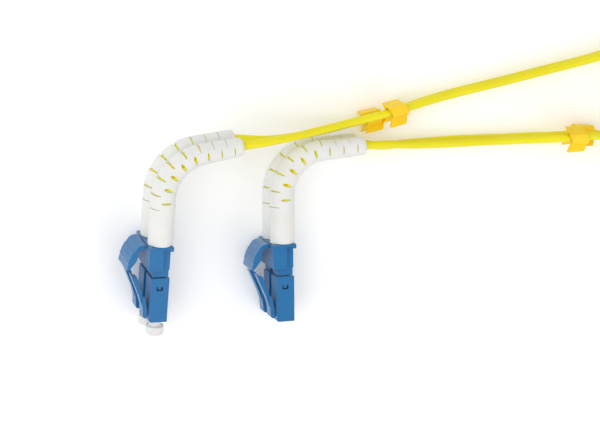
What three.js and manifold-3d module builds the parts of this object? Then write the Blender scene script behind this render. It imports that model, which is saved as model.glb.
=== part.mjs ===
// Duplex LC fibre optic patch cord: two plug ends lying on their sides, joined by a two-legged cord
// whose spare length is wound in a tied coil.
//
// Frame: millimetres, +Z up. The origin is the middle of the resting face of the right-hand duplex
// clip. The right-hand plug points along -Y and its boots turn towards +X.
// Plug frame: x runs across from the latch side (-x), y runs rearwards from the middle of the clip,
// z runs up through the two stacked connectors. Connector frame: the same directions, with y = 0 at
// the nose and x = z = 0 on the ferrule's axis.

import * as THREE from 'three';
import { mergeVertices } from 'three/addons/utils/BufferGeometryUtils.js';
import Module from 'manifold-3d';

const wasm = await Module();
wasm.setup();

// Driving dimensions
const PITCH = 6.25; // between the two ferrules of a duplex plug
const STACK = 12.4; // height of a duplex clip
const LOWER_Z = (STACK - PITCH) / 2;
const UPPER_Z = LOWER_Z + PITCH;
const NOSE_Y = -16.4; // from the middle of the clip to the nose of a connector
const HOUSING = { side: 4.5, length: 11.3, nick: 0.4, bore: 3.3, rearBore: 2.9 };
const STOP = { from: 4.8, to: 5.4, bore: 1.8 }; // the wall across the housing that the ferrule passes
const WINDOW = { wide: 1.6, long: 1.0, from: 8.1 };
const REAR = { side: 4.2, from: 11.6, to: 19.4, neckSide: 3.9, bore: 3.1, crimpBore: 3.6, crimpFrom: 16.5 };
const CLIP = { from: 13.4, to: 19.4, left: -3.25, panelRight: 0.25, wall: 0.75, slack: 0.25 };
const COLLAR = { from: 18.3, right: 2.6 };
const NOTCH = { left: 0.1, right: 1.7, from: 18.2, to: 18.7 };
const TRIGGER = { low: 2.2, high: 10.2, ribs: 5, ribRise: 0.28 };
const LATCH = { armWide: 2.2, shoulderWide: 3.2 };
const FERRULE = { radius: 0.625, from: 0.3, to: 6.3, chamfer: 0.12 };
const FLANGE = { radius: 1.18, from: 5.75, to: 7.5, seat: 0.85, seatTo: 6.6, tail: 0.5, tailTo: 10.4 };
const SPRING = { coils: 4.5, radius: 0.92, wire: 0.13, from: 7.95, to: 11.35, stepsPerCoil: 10 };
const POST = { bore: 0.78, radius: 1.25, from: 11.7, to: 16.6 };
const SLEEVE = { bore: 1.25, radius: 1.5, from: 16.9, to: 22.6 };
const LEG = 2.0; // diameter of one leg of the cord
const BOOT = { from: 19.7, straight: 11.1, bend: 10.8, baseR: 3.05, exitR: 2.25 };
const BOOT_BORE = { radius: 1.35, baseRadius: 1.8, baseLength: 3.9 };
const ENDS = {
  right: { place: [0, 0, 0], yaw: 0, lean: 0, roll: 0, turn: 87, out: 11.0, capped: false },
  left: { place: [-31.9, 4.1, 2.58], yaw: -2.5, lean: 10, roll: 3, turn: 80, out: 9.8, capped: true },
};
const CRIMP_START = 17.1; // where a leg starts inside its crimp sleeve, from the nose
const LEG_STEPS = 60;
const COIL = { centre: [118, 33], inner: 13.6, outer: 22.6, low: 0.8, high: 9.6 };
const TIE = { angle: -60, wide: 5, thick: 0.5, gap: 0.3 };
const MARKER = { long: 4.6, boreR: 1.35, wall: 0.6, mouth: -52, skew: 0.45 };
const TAG = { half: 2.15, top: 2.2, thick: 0.8 };
const LIP = { half: 2.15, low: -3.1 };
const MARKERS = [
  { name: 'left_lower_marker', side: 'left', level: 'lower', index: 4, roll: 0 },
  { name: 'left_upper_marker', side: 'left', level: 'upper', index: 6, roll: 15 },
  { name: 'right_upper_marker', side: 'right', level: 'upper', index: 7, roll: 25 },
  { name: 'right_lower_marker', side: 'right', level: 'lower', index: 8, roll: 0 },
];

const COLOURS = {
  blue: [0x2f74b5, 0.35, 0],
  white: [0xeeeeec, 0.5, 0],
  yellow: [0xeee22a, 0.45, 0],
  orange: [0xffc420, 0.45, 0],
  zirconia: [0xf4f4f0, 0.15, 0],
  steel: [0xb4b6ba, 0.3, 0.9],
  brass: [0xb99a52, 0.35, 0.9],
  cap: [0xe9ebe8, 0.4, 0],
  tie: [0x2b2b2d, 0.7, 0],
};

// Shared helpers
const rad = (degrees) => (degrees * Math.PI) / 180;

function material(name) {
  const [color, roughness, metalness] = COLOURS[name];
  return new THREE.MeshStandardMaterial({ color, roughness, metalness });
}

function solid(geometry) {
  const bare = geometry.clone();
  bare.deleteAttribute('normal');
  bare.deleteAttribute('uv');
  const merged = mergeVertices(bare, 1e-4);
  const vertProperties = new Float32Array(merged.attributes.position.array);
  const triVerts = new Uint32Array(merged.index.array);
  return new wasm.Manifold(new wasm.Mesh({ numProp: 3, vertProperties, triVerts }));
}

function geometryOf(body) {
  const { vertProperties, triVerts } = body.getMesh();
  const geometry = new THREE.BufferGeometry();
  geometry.setAttribute('position', new THREE.BufferAttribute(new Float32Array(vertProperties), 3));
  geometry.setIndex(new THREE.BufferAttribute(new Uint32Array(triVerts), 1));
  return geometry;
}

function block(x0, x1, y0, y1, z0, z1) {
  const geometry = new THREE.BoxGeometry(x1 - x0, y1 - y0, z1 - z0);
  return solid(geometry.translate((x0 + x1) / 2, (y0 + y1) / 2, (z0 + z1) / 2));
}

// A round bar along y.
function bar(radius, y0, y1, sides = 16) {
  const geometry = new THREE.CylinderGeometry(radius, radius, y1 - y0, sides);
  return solid(geometry.translate(0, (y0 + y1) / 2, 0));
}

// A body turned about the y axis from [radius, y] points that close on themselves.
function turned(profile, sides = 16) {
  const points = profile.map(([radius, y]) => new THREE.Vector2(radius, y));
  points.push(points[0].clone());
  return new THREE.LatheGeometry(points, sides);
}

// A flat outline of [x, y] points, drawn out along z.
function plate(outline, z0, z1) {
  const shape = new THREE.Shape(outline.map(([x, y]) => new THREE.Vector2(x, y)));
  const geometry = new THREE.ExtrudeGeometry(shape, { depth: z1 - z0, bevelEnabled: false });
  return geometry.translate(0, 0, z0);
}

function add(group, name, geometry, look) {
  const mesh = new THREE.Mesh(geometry, material(look));
  mesh.name = name;
  group.add(mesh);
}

// Connector pieces, in the connector frame
function frontHousing() {
  const half = HOUSING.side / 2;
  const { nick, length } = HOUSING;
  const outline = [
    [-half, nick],
    [-half + nick, 0],
    [half, 0],
    [half, length],
    [-half, length],
  ];
  let body = solid(plate(outline, -half, half));
  body = body.subtract(bar(HOUSING.bore / 2, -1, STOP.from));
  body = body.subtract(bar(STOP.bore / 2, 0, length));
  body = body.subtract(bar(HOUSING.rearBore / 2, STOP.to, length + 1));
  const wide = WINDOW.wide / 2;
  const windowTo = WINDOW.from + WINDOW.long;
  body = body.subtract(block(-wide, wide, WINDOW.from, windowTo, -half - 1, half + 1));
  return geometryOf(body);
}

function latchArm() {
  const arm = [
    [-2.55, 0.9],
    [-2.55, 3.0],
    [-5.35, 11.2],
    [-7.1, 12.1],
    [-4.65, 6.4],
    [-3.25, 2.0],
    [-3.0, 0.9],
  ];
  const shoulder = [
    [-2.55, 0.9],
    [-2.55, 3.0],
    [-3.3, 6.4],
    [-3.9, 6.4],
    [-3.6, 1.3],
    [-3.2, 0.9],
  ];
  const armHalf = LATCH.armWide / 2;
  const shoulderHalf = LATCH.shoulderWide / 2;
  const body = solid(plate(arm, -armHalf, armHalf));
  return geometryOf(body.add(solid(plate(shoulder, -shoulderHalf, shoulderHalf))));
}

function ferrule() {
  const { radius, from, to, chamfer } = FERRULE;
  const profile = [[0, from], [radius - chamfer, from], [radius, from + chamfer], [radius, to], [0, to]];
  return turned(profile, 12);
}

// The hexagonal collar that holds the ferrule, with the tail that guides the spring.
function ferruleFlange() {
  const { radius, from, to, seat, seatTo, tail, tailTo } = FLANGE;
  const collar = bar(radius, from, to, 6).add(bar(tail, to - 0.1, tailTo, 10));
  return geometryOf(collar.subtract(bar(seat, from - 1, seatTo, 12)));
}

function spring() {
  const { coils, radius, wire, from, to, stepsPerCoil } = SPRING;
  const steps = coils * stepsPerCoil;
  const points = [];
  for (let i = 0; i <= steps; i += 1) {
    const turn = (2 * Math.PI * i) / stepsPerCoil;
    const along = from + ((to - from) * i) / steps;
    points.push(new THREE.Vector3(radius * Math.cos(turn), along, radius * Math.sin(turn)));
  }
  const path = new THREE.CatmullRomCurve3(points);
  return tube(path, wire, 5, steps);
}

// A plain sleeve: the post behind the spring, or the crimp sleeve round the end of a leg.
function sleeve({ bore, radius, from, to }, sides) {
  return turned([[bore, from], [radius, from], [radius, to], [bore, to]], sides);
}

function rearBody() {
  const half = REAR.side / 2;
  const neck = REAR.neckSide / 2;
  let body = block(-half, half, CLIP.from, REAR.to, -half, half);
  body = body.add(block(-neck, neck, REAR.from, CLIP.from + 0.5, -neck, neck));
  body = body.subtract(bar(REAR.bore / 2, REAR.from - 1, REAR.to));
  return geometryOf(body.subtract(bar(REAR.crimpBore / 2, REAR.crimpFrom, REAR.to + 1)));
}

// Boots and the legs of the cord
// The line down the middle of a boot, in its connector frame: straight, round a bend, straight.
function bootLine(turn, out) {
  const points = [];
  const bendY = BOOT.from + BOOT.straight;
  const straightSteps = 3;
  const bendSteps = 8;
  for (let i = 0; i < straightSteps; i += 1) {
    points.push(new THREE.Vector3(0, BOOT.from + (BOOT.straight * i) / straightSteps, 0));
  }
  for (let i = 0; i <= bendSteps; i += 1) {
    const angle = rad((turn * i) / bendSteps);
    const x = BOOT.bend * (1 - Math.cos(angle));
    points.push(new THREE.Vector3(x, bendY + BOOT.bend * Math.sin(angle), 0));
  }
  const last = points[points.length - 1];
  const heading = new THREE.Vector3(Math.sin(rad(turn)), Math.cos(rad(turn)), 0);
  for (const share of [0.5, 1]) {
    points.push(last.clone().addScaledVector(heading, out * share));
  }
  return points;
}

// A ring of points round a line that lies in the plane z = 0.
function ringPoints(centre, heading, radius, sides) {
  const ring = [];
  for (let k = 0; k < sides; k += 1) {
    const angle = (2 * Math.PI * k) / sides;
    const across = radius * Math.cos(angle);
    const x = centre.x + across * heading.y;
    const y = centre.y - across * heading.x;
    ring.push([x, y, radius * Math.sin(angle)]);
  }
  return ring;
}

// A tapering tube with a wall: rings out along the outside and back along the bore.
function boot(turn, out) {
  const line = bootLine(turn, out);
  const sides = 16;
  const lengths = [0];
  for (let i = 1; i < line.length; i += 1) {
    lengths.push(lengths[i - 1] + line[i].distanceTo(line[i - 1]));
  }
  const total = lengths[lengths.length - 1];
  const headings = line.map((point, i) => {
    const before = line[Math.max(i - 1, 0)];
    const after = line[Math.min(i + 1, line.length - 1)];
    return after.clone().sub(before).normalize();
  });
  const outside = line.map((point, i) => {
    const taper = Math.max(0, (lengths[i] - BOOT.straight) / (total - BOOT.straight));
    const radius = BOOT.baseR + (BOOT.exitR - BOOT.baseR) * taper;
    return ringPoints(point, headings[i], radius, sides);
  });
  const inside = line.map((point, i) => {
    const radius = lengths[i] < BOOT_BORE.baseLength ? BOOT_BORE.baseRadius : BOOT_BORE.radius;
    return ringPoints(point, headings[i], radius, sides);
  });
  return loft([...outside, ...inside.reverse()], sides);
}

// Rings of points joined in order, the last to the first.
function loft(rings, sides) {
  const index = [];
  for (let r = 0; r < rings.length; r += 1) {
    const next = (r + 1) % rings.length;
    for (let k = 0; k < sides; k += 1) {
      const a = r * sides + k;
      const b = r * sides + ((k + 1) % sides);
      const c = next * sides + k;
      const d = next * sides + ((k + 1) % sides);
      index.push(a, c, b, b, c, d);
    }
  }
  const geometry = new THREE.BufferGeometry();
  geometry.setAttribute('position', new THREE.Float32BufferAttribute(rings.flat(2), 3));
  geometry.setIndex(index);
  return geometry;
}

function tube(path, radius, sides, steps) {
  const section = new THREE.Shape();
  for (let k = 0; k < sides; k += 1) {
    const angle = (2 * Math.PI * k) / sides;
    const point = [radius * Math.cos(angle), radius * Math.sin(angle)];
    if (k === 0) section.moveTo(...point);
    else section.lineTo(...point);
  }
  return new THREE.ExtrudeGeometry(section, { steps, bevelEnabled: false, extrudePath: path });
}

function dustCap() {
  const profile = [
    [0.85, 3.8], [1.4, 3.8], [1.5, -0.3], [1.5, -1.3], [2.2, -1.5], [2.2, -3.4], [1.8, -3.8],
    [0.6, -3.8], [0.6, -0.4], [0.85, -0.4],
  ];
  return turned(profile.reverse(), 16);
}

// Duplex clip and trigger, in the plug frame but with y from the nose
function duplexClip() {
  const { from, to, left, panelRight, wall, slack } = CLIP;
  let body = block(left, panelRight, from, to, 0, STACK);
  body = body.add(block(left, COLLAR.right, COLLAR.from, to, 0, STACK));
  const clear = REAR.side / 2 + slack;
  for (const z of [LOWER_Z, UPPER_Z]) {
    body = body.subtract(block(left + wall, clear, from - 1, to + 1, z - clear, z + clear));
  }
  const notch = block(NOTCH.left, NOTCH.right, NOTCH.from, NOTCH.to, -1, STACK + 1);
  return geometryOf(body.subtract(notch));
}

function trigger() {
  const outline = [
    [-3.55, 18.3],
    [-5.35, 18.1],
    [-5.65, 15.6],
    [-6.4, 14.6],
    [-7.35, 13.3],
    [-7.85, 12.9],
    [-7.95, 13.6],
    [-7.7, 14.7],
  ];
  const { ribs, ribRise } = TRIGGER;
  const grip = new THREE.QuadraticBezierCurve(
    new THREE.Vector2(-7.7, 14.7),
    new THREE.Vector2(-7.15, 17.0),
    new THREE.Vector2(-5.6, 18.9),
  );
  for (let i = 0; i < ribs; i += 1) {
    const foot = grip.getPoint((i + 0.3) / ribs);
    const top = grip.getPoint((i + 0.5) / ribs);
    const heel = grip.getPoint((i + 0.8) / ribs);
    outline.push([foot.x, foot.y], [top.x - ribRise, top.y + 0.1], [heel.x, heel.y]);
  }
  outline.push([-5.0, 19.2], [-4.2, 19.4], [-3.55, 19.3]);
  return plate(outline.reverse(), TRIGGER.low, TRIGGER.high);
}

// Clip-on marker: a split ring with a flat tag on its back and two lips at its mouth, both ends cut
// to a chevron. It is drawn out along z here, with its tag towards +y and its mouth towards -y.
function cableMarker() {
  const { boreR, wall, long, skew } = MARKER;
  const outerR = boreR + wall;
  const mouth = rad(MARKER.mouth);
  const mouthX = outerR * Math.cos(mouth);
  const mouthY = outerR * Math.sin(mouth);
  const shoulder = TAG.top - TAG.thick;
  const shape = new THREE.Shape();
  shape.moveTo(LIP.half, LIP.low);
  shape.lineTo(mouthX, mouthY);
  shape.lineTo(outerR, 0);
  shape.lineTo(outerR * 0.9, shoulder);
  shape.lineTo(TAG.half, shoulder);
  shape.lineTo(TAG.half, TAG.top);
  shape.lineTo(0, TAG.top);
  shape.lineTo(-TAG.half, TAG.top);
  shape.lineTo(-TAG.half, shoulder);
  shape.lineTo(-outerR * 0.9, shoulder);
  shape.lineTo(-outerR, 0);
  shape.lineTo(-mouthX, mouthY);
  shape.lineTo(-LIP.half, LIP.low);
  shape.lineTo(-LIP.half + wall, LIP.low);
  const boreSteps = 8;
  for (let i = 0; i <= boreSteps; i += 1) {
    const angle = Math.PI - mouth - ((Math.PI - 2 * mouth) * i) / boreSteps;
    shape.lineTo(boreR * Math.cos(angle), boreR * Math.sin(angle));
  }
  shape.lineTo(LIP.half - wall, LIP.low);
  const geometry = new THREE.ExtrudeGeometry(shape, { depth: long, bevelEnabled: false });
  geometry.translate(0, 0, -long / 2);
  const middle = (TAG.top + LIP.low) / 2;
  const quarter = (TAG.top - LIP.low) / 4;
  const position = geometry.attributes.position;
  for (let i = 0; i < position.count; i += 1) {
    const shift = skew * (Math.abs(position.getY(i) - middle) - quarter);
    position.setZ(i, position.getZ(i) - shift);
  }
  return geometry;
}

// Assembly
function connector(side, level, end) {
  const group = new THREE.Group();
  const label = `${side}_${level}`;
  add(group, `${label}_front_housing`, frontHousing(), 'blue');
  add(group, `${label}_latch_arm`, latchArm(), 'blue');
  add(group, `${label}_ferrule`, ferrule(), 'zirconia');
  add(group, `${label}_ferrule_flange`, ferruleFlange(), 'steel');
  add(group, `${label}_spring`, spring(), 'steel');
  add(group, `${label}_back_post`, sleeve(POST, 12), 'brass');
  add(group, `${label}_crimp_sleeve`, sleeve(SLEEVE, 16), 'steel');
  add(group, `${label}_rear_body`, rearBody(), 'blue');
  add(group, `${label}_boot`, boot(end.turn, end.out), 'white');
  if (end.capped) add(group, `${label}_dust_cap`, dustCap(), 'cap');
  group.position.set(0, NOSE_Y, level === 'upper' ? UPPER_Z : LOWER_Z);
  return group;
}

function plug(side) {
  const end = ENDS[side];
  const group = new THREE.Group();
  for (const level of ['lower', 'upper']) group.add(connector(side, level, end));
  const shell = new THREE.Group();
  add(shell, `${side}_duplex_clip`, duplexClip(), 'blue');
  add(shell, `${side}_trigger`, trigger(), 'blue');
  shell.position.set(0, NOSE_Y, 0);
  group.add(shell);
  group.rotation.set(rad(end.lean), rad(end.roll), rad(end.yaw), 'ZXY');
  group.position.set(...end.place);
  group.updateMatrixWorld(true);
  return group;
}

// The two legs of the cord run as a pair. Each point of a pair's route is
// [x, y, z, half the distance between the legs, twist]: the point midway between the legs, and how
// far the upper leg is turned up from the left of the route, so that 90 is straight above the other.
const PAIRS = {
  left: [
    [-4, 28.7, 11.9, 2.9, 86],
    [4, 29.2, 9.8, 2.6, 79],
    [12, 30.1, 7.5, 2.3, 76],
    [19, 31.0, 5.3, 2.05, 76],
    [25.6, 32.1, 4.6, 2.02, 76],
    [28.2, 32.6, 4.6, 2.02, 76],
    [30.8, 33.15, 4.4, 2.02, 77],
    [36, 34.35, 3.4, 1.8, 82],
    [40.5, 35.35, 2.5, 1.4, 86],
    [45.5, 36.4, 2.15, 1.1, 90],
    [51, 37.5, 2.1, 1.08, 92],
    [58, 38.8, 2.1, 1.08, 92],
    [66, 40.35, 2.1, 1.08, 92],
    [74, 41.95, 2.1, 1.08, 92],
    [82, 43.5, 2.1, 1.08, 92],
    [89.5, 45.15, 2.15, 1.08, 92],
    [95, 46.9, 2.4, 1.1, 92],
    [100.4, 49.15, 2.75, 1.1, 94],
  ],
  right: [
    [28, 25.0, 4.9, 2.7, 79],
    [36, 24.7, 3.4, 2.2, 88],
    [46, 24.65, 2.75, 1.7, 98],
    [56, 24.6, 2.5, 1.45, 100],
    [64, 24.5, 2.75, 1.7, 97],
    [71, 24.6, 3.7, 2.2, 94],
    [75.4, 24.7, 4.8, 2.7, 91],
    [79.9, 24.8, 5.05, 2.85, 90],
    [84.8, 24.9, 5.05, 2.85, 90],
    [88.8, 24.5, 5.0, 2.5, 90],
    [93.5, 22.7, 5.2, 1.6, 90],
    [97.8, 20.2, 5.9, 1.15, 90],
  ],
};

function legPoint(pair, i, level) {
  const [x, y, z, half, twist] = pair[i];
  const before = pair[Math.max(i - 1, 0)];
  const after = pair[Math.min(i + 1, pair.length - 1)];
  const heading = new THREE.Vector3(after[0] - before[0], after[1] - before[1], 0).normalize();
  const offset = level === 'upper' ? half : -half;
  const aside = offset * Math.cos(rad(twist));
  const rise = offset * Math.sin(rad(twist));
  return new THREE.Vector3(x - heading.y * aside, y + heading.x * aside, z + rise);
}

// A leg starts inside the crimp sleeve, runs through its boot and goes on along the pair's route.
function legLine(side, level, plugMatrix) {
  const end = ENDS[side];
  const z = level === 'upper' ? UPPER_Z : LOWER_Z;
  const inside = [new THREE.Vector3(0, CRIMP_START, 0), ...bootLine(end.turn, end.out)];
  const line = inside.map((p) => new THREE.Vector3(p.x, p.y + NOSE_Y, z).applyMatrix4(plugMatrix));
  const pair = PAIRS[side];
  for (let i = 0; i < pair.length; i += 1) line.push(legPoint(pair, i, level));
  return new THREE.CatmullRomCurve3(line, false, 'centripetal');
}

function leg(side, level, plugMatrix) {
  return tube(legLine(side, level, plugMatrix), LEG / 2, 8, LEG_STEPS);
}

// A marker stands on one of the pair's points, in line with its leg there.
function placeMarker(group, { name, side, level, index, roll }) {
  const pair = PAIRS[side];
  const centre = legPoint(pair, index, level);
  const along = legPoint(pair, index + 1, level).sub(legPoint(pair, index - 1, level)).normalize();
  const left = new THREE.Vector3(-along.y, along.x, 0).normalize();
  const up = new THREE.Vector3().crossVectors(along, left);
  const tag = left.multiplyScalar(Math.cos(rad(roll))).addScaledVector(up, Math.sin(rad(roll)));
  const flank = new THREE.Vector3().crossVectors(tag, along);
  const place = new THREE.Matrix4().makeBasis(flank, tag, along).setPosition(centre);
  add(group, name, cableMarker().applyMatrix4(place), 'orange');
}

function coil() {
  const { centre, inner, outer, low, high } = COIL;
  const soft = 1;
  const profile = [
    [inner, low + soft], [inner + soft, low], [outer - soft, low], [outer, low + soft],
    [outer, high - soft], [outer - soft, high], [inner + soft, high], [inner, high - soft],
  ];
  const ring = turned(profile, 40);
  return ring.rotateX(Math.PI / 2).translate(centre[0], centre[1], 0);
}

// The strap round the coil: a flat loop in the plane that runs out from the coil's middle.
function tie() {
  const { angle, wide, thick, gap } = TIE;
  const inner = COIL.inner - 2 * gap; // the loop is flat where the coil curves
  const outer = COIL.outer + gap;
  const low = COIL.low - gap;
  const high = COIL.high + gap;
  const half = wide / 2;
  const strap = block(inner - thick, outer + thick, -half, half, low - thick, high + thick);
  const loop = geometryOf(strap.subtract(block(inner, outer, -wide, wide, low, high)));
  return loop.rotateZ(rad(angle)).translate(COIL.centre[0], COIL.centre[1], 0);
}

const model = new THREE.Group();
const plugs = { right: plug('right'), left: plug('left') };
for (const side of ['right', 'left']) {
  model.add(plugs[side]);
  for (const level of ['lower', 'upper']) {
    add(model, `${side}_${level}_leg`, leg(side, level, plugs[side].matrixWorld), 'yellow');
  }
}
for (const marker of MARKERS) placeMarker(model, marker);
add(model, 'cord_coil', coil(), 'yellow');
add(model, 'coil_tie', tie(), 'tie');

export default model;
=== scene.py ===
"""Looks for a duplex LC fibre patch cord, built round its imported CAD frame.

Lengths in the tables are in millimetres, in the frames that the part's source uses, and each mesh
is turned and scaled to metres when it is placed. Only the stage's tables and the looks are in metres.
Plug frame: x across from the latch side, y rearwards from the middle of the clip, z up the stack.
Connector frame: the same directions, with y = 0 at the nose and x = z = 0 on the ferrule's axis.
"""
import math

import bmesh
import bpy
from mathutils import Matrix, Vector
from mathutils.kdtree import KDTree


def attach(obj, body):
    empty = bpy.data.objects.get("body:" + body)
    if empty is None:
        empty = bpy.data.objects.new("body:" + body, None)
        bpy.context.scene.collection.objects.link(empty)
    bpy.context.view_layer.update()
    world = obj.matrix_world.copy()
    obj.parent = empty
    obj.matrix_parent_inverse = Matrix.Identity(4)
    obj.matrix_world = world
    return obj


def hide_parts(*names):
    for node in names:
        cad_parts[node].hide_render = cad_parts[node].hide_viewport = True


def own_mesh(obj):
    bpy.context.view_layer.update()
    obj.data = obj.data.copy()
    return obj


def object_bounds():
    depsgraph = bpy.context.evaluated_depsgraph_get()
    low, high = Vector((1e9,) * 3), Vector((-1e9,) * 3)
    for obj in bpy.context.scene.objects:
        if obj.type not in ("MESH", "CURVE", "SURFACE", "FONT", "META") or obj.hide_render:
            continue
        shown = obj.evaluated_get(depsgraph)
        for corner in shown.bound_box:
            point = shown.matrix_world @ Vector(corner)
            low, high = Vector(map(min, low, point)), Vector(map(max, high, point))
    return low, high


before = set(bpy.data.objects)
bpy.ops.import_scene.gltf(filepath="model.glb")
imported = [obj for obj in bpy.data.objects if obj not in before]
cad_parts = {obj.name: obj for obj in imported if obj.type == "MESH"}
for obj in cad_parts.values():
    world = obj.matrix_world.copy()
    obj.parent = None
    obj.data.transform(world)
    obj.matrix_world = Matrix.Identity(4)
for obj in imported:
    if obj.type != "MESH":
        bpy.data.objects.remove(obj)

CAD_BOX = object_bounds()
MM = 0.001
LEVELS = ("lower", "upper")
SIDES = ("right", "left")
ROOT = "patch_cord"

# Driving dimensions, as in the CAD
STACK = 12.4
LEVEL_Z = {"lower": 3.075, "upper": 9.325}
NOSE_Y = -16.4
LEG = 2.0
BOOT_FROM = 19.7
BOOT_BORE = 1.2
BOOT_STRAIGHT = 11.1
BOOT_BEND = 10.8
BOOT_BASE_R = 3.05
BOOT_TAPER = 0.8  # how much smaller the radius is at the mouth
BOOT_SIDES = 48
BOOT_BASE_BORE = {"radius": 1.8, "to": 3.9}  # wider there, over the crimp sleeve
BOOT_BASE_RINGS = (-0.22, 0.25)
BOOT_ROUND = {"long": 0.4, "last": 0.12, "slope": 0.7}  # the rounding of the mouth
RING_GAP = 0.6  # the most there is between two rings of a boot's mesh
LEG_FROM = 2.6  # where a drawn leg starts, from its boot's base
LEG_POINTS = 22  # steps of a leg's line inside its boot
LINE_STEP = 1.1
WALL_SKIN = 0.15  # depth under a boot's skin that gets no painted yellow light
WALL_FADE = 0.45  # depth over which painted yellow light from the leg fades in on the boot's wall
MOUTH_RIM = 0.6  # length at each end of a boot that gets no painted yellow light
SLOT_END = 0.4  # width of a slot at its ends, as a share of its widest
SLOT_GLOW = 0.22  # emission strength of the painted yellow glow on a slot's wall near the leg
BOOT_AXIS_STEPS = 240
SLOTS = {"count": 8, "first": 10.6, "before_mouth": 2.4, "shut": 0.16}
FACE_ANGLES = ((60, 112.5), (247.5, 300))
OUTSIDE_ANGLES = (120, 240)
INSIDE_ANGLES = (-37.5, 37.5)
FACE_SLOT = {"least": 0.42, "more": 0.5, "spread": 8.5}
OUTSIDE_SLOT = {"least": 0.2, "more": 0.42, "spread": 8.0}
PAST = 1  # how far a cutting shape runs past what it cuts
HOUSING = {"half": 2.25, "long": 11.3, "nick": 0.4, "nose_bore": 1.65, "rear_bore": 1.45}
STOP = {"from": 4.8, "to": 5.4, "bore": 0.9}  # the wall that the ferrule passes
WINDOW = {"half": 0.8, "from": 8.1, "to": 9.1}
LATCH = {"arm_half": 1.1, "shoulder_half": 1.6}
LATCH_ARM = ((-2.55, 0.9), (-2.55, 3.0), (-5.35, 11.2), (-7.1, 12.1), (-4.65, 6.4), (-3.25, 2.0), (-3.0, 0.9))
LATCH_SHOULDER = ((-2.55, 0.9), (-2.55, 3.0), (-3.3, 6.4), (-3.9, 6.4), (-3.6, 1.3), (-3.2, 0.9))
REAR = {"half": 2.1, "from": 13.4, "to": 19.4, "neck_half": 1.95, "neck_from": 11.6, "neck_to": 13.9,
        "bore": 1.55, "bore_from": 10.6, "crimp_bore": 1.8, "crimp_from": 16.5}
# The spring, the head and the root of the tongue that locks into a window, as block corners
TONGUE = ((-0.4, 0.4, 8.4, 12.4, 1.12, 1.36), (-0.42, 0.42, 8.4, 9.07, 1.2, 2.02),
          (-0.4, 0.4, 11.7, 12.4, 1.2, 1.8))
CLIP = {"left": -3.25, "right": 0.25, "from": 13.4, "to": 19.4, "wall": 0.75, "clear": 2.35}
COLLAR = {"right": 2.6, "from": 18.3}
NOTCH = {"left": 0.1, "right": 1.7, "from": 18.2, "to": 18.7}
TRIGGER = {"low": 2.2, "high": 10.2, "ribs": 5, "rise": 0.17, "ribbed_to": 0.66, "steps": 50}
TRIGGER_FRONT = ((-3.55, 18.3), (-4.9, 18.12), (-5.25, 17.7), (-5.45, 16.6), (-5.72, 15.4), (-6.3, 14.6),
                 (-6.9, 13.85), (-7.35, 13.3), (-7.85, 12.9), (-8.02, 13.1), (-8.0, 13.5), (-7.86, 14.2))
TRIGGER_GRIP = ((-7.7, 14.7), (-7.15, 17.0), (-5.6, 18.9))  # a quadratic curve's three points
TRIGGER_HEEL = ((-5.05, 19.2), (-4.6, 19.34), (-4.1, 19.4), (-3.7, 19.4), (-3.55, 19.3))
FERRULE = ((0.001, 0.3), (0.505, 0.3), (0.56, 0.33), (0.6, 0.38), (0.625, 0.45), (0.625, 6.3), (0.001, 6.3))
FLANGE = {"radius": 1.18, "from": 5.75, "to": 7.5, "seat": 0.85, "seat_from": 5, "seat_to": 6.6}
FLANGE_TAIL = {"radius": 0.5, "from": 7.4, "to": 10.4}
POST = {"bore": 0.78, "from": 11.7, "long": 4.9, "radius": 1.25, "groove": 0.05, "steps": 28}
SLEEVE = ((1.25, 22.6), (1.25, 16.9), (1.45, 16.9), (1.5, 16.96), (1.5, 18.2), (1.44, 18.4), (1.44, 19.0),
          (1.5, 19.2), (1.5, 22.54), (1.45, 22.6))
MARKER = {"bore": 1.35, "wall": 0.6, "skew": 0.45, "long": 4.6, "slices": 6}
TAG = {"half": 2.15, "top": 2.2}
LIP = {"half": 2.15, "low": -3.1}
ENDS = {
    "right": {"place": (0, 0, 0), "yaw": 0, "lean": 0, "roll": 0, "turn": 87, "out": 11.0},
    "left": {"place": (-31.9, 4.1, 2.58), "yaw": -2.5, "lean": 10, "roll": 3, "turn": 80, "out": 9.8},
}
# Each route point: x, y, z, half the distance between the legs, and how far the upper leg is turned
# up from the left of the route
PAIRS = {
    "left": (
        (-4, 28.7, 11.9, 2.9, 86), (4, 29.2, 9.8, 2.6, 79), (12, 30.1, 7.5, 2.3, 76),
        (19, 31.0, 5.3, 2.05, 76), (25.6, 32.1, 4.6, 2.02, 76), (28.2, 32.6, 4.6, 2.02, 76),
        (30.8, 33.15, 4.4, 2.02, 77), (36, 34.35, 3.4, 1.8, 82), (40.5, 35.35, 2.5, 1.4, 86),
        (45.5, 36.4, 2.15, 1.1, 90), (51, 37.5, 2.1, 1.08, 92), (58, 38.8, 2.1, 1.08, 92),
        (66, 40.35, 2.1, 1.08, 92), (74, 41.95, 2.1, 1.08, 92), (82, 43.5, 2.1, 1.08, 92),
        (89.5, 45.15, 2.15, 1.08, 92), (95, 46.9, 2.4, 1.1, 92), (100.4, 49.15, 2.75, 1.1, 94),
    ),
    "right": (
        (28, 25.0, 4.9, 2.7, 79), (36, 24.7, 3.4, 2.2, 88), (46, 24.65, 2.75, 1.7, 98),
        (56, 24.6, 2.5, 1.45, 100), (64, 24.5, 2.75, 1.7, 97), (71, 24.6, 3.7, 2.2, 94),
        (75.4, 24.7, 4.8, 2.7, 91), (79.9, 24.8, 5.05, 2.85, 90), (84.8, 24.9, 5.05, 2.85, 90),
        (88.8, 24.5, 5.0, 2.5, 90), (93.5, 22.7, 5.2, 1.6, 90), (97.8, 20.2, 5.9, 1.15, 90),
    ),
}
MARKERS = (
    ("left", "lower", 4, 0), ("left", "upper", 6, 15), ("right", "upper", 7, 25), ("right", "lower", 8, 0),
)
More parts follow.
